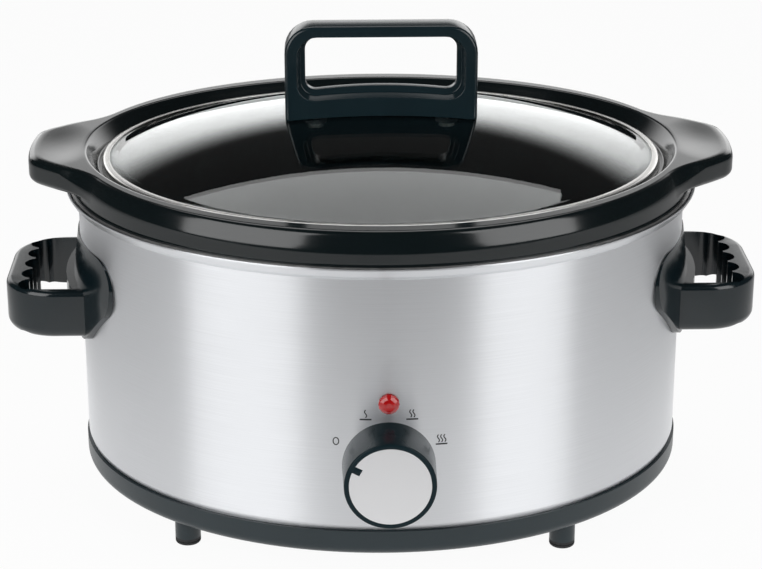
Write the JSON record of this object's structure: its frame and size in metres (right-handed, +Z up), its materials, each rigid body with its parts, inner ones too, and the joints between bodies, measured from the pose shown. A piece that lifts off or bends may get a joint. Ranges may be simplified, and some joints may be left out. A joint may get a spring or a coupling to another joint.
{
  "type": "slow cooker",
  "caption": "Oval slow cooker with a brushed steel body, lift-out glazed crock with ears, domed glass lid with a loop handle, side handles, and a turning heat control below a lamp.",
  "frame": {"origin": "on the floor under the middle of the whole cooker's box; the oval body's upright axis is 11.6 mm behind it, because the knob stands out in front", "axes": "+Z up, control knob facing -Y, side handles along X"},
  "size_m": [0.4396, 0.3408, 0.278],
  "materials": {
    "wrap_steel": "brushed around the body",
    "black_plastic": "satin moulded",
    "foot_rubber": "matt",
    "black_glaze": "glossy glaze",
    "clear_glass": "clear, polished",
    "polished_steel": "polished steel",
    "knob_plate": "spun satin",
    "red_lens": "clear red, faceted",
    "pan_metal": "plain rolled sheet",
    "plated_steel": "zinc plated",
    "heater_belt": "woven glass-fibre belt",
    "soft_washer": "soft moulded",
    "switch_plastic": "plain moulded",
    "brass": "turned"
  },
  "bodies": {
    "base": {"base_tray": "black_plastic", "foot_pads": "foot_rubber", "steel_wrap": "wrap_steel", "heating_pan": "pan_metal", "heater_band": "heater_belt", "band_clamp": "plated_steel", "clamp_screw": "plated_steel", "heat_shield": "pan_metal", "tie_rods": "plated_steel", "tie_nuts": "plated_steel", "switch_bracket": "plated_steel", "bracket_screws": "plated_steel", "rotary_switch": "switch_plastic", "switch_screws": "plated_steel", "indicator_lens": "red_lens", "neon_lamp": "clear_glass", "cord_bushing": "black_plastic", "thermal_fuse": "pan_metal", "fuse_clip": "plated_steel", "terminal_block": "switch_plastic", "terminal_screws": "brass", "earth_tag": "brass", "earth_screw": "plated_steel", "right_handle": "black_plastic", "left_handle": "black_plastic", "handle_screws": "plated_steel"},
    "control": {"switch_shaft": "plated_steel", "knob": "black_plastic", "knob_disc": "knob_plate"},
    "crock": {"crock": "black_glaze"},
    "lid": {"lid_glass": "clear_glass", "lid_ring": "polished_steel", "lid_loop": "black_plastic", "lid_washers": "soft_washer", "lid_screws": "plated_steel"}
  },
  "joints": [
    {"name": "knob_turn", "type": "hinge", "parent": "base", "child": "control", "pos_m": [0, -0.1534, 0.0715], "axis": [0, 1, 0], "range_deg": [0, 127]},
    {"name": "crock_lift", "type": "slide", "parent": "base", "child": "crock", "axis": [0, 0, 1], "range_m": [0, 0.12]},
    {"name": "lid_lift", "type": "slide", "parent": "crock", "child": "lid", "axis": [0, 0, 1], "range_m": [0, 0.08]}
  ]
}
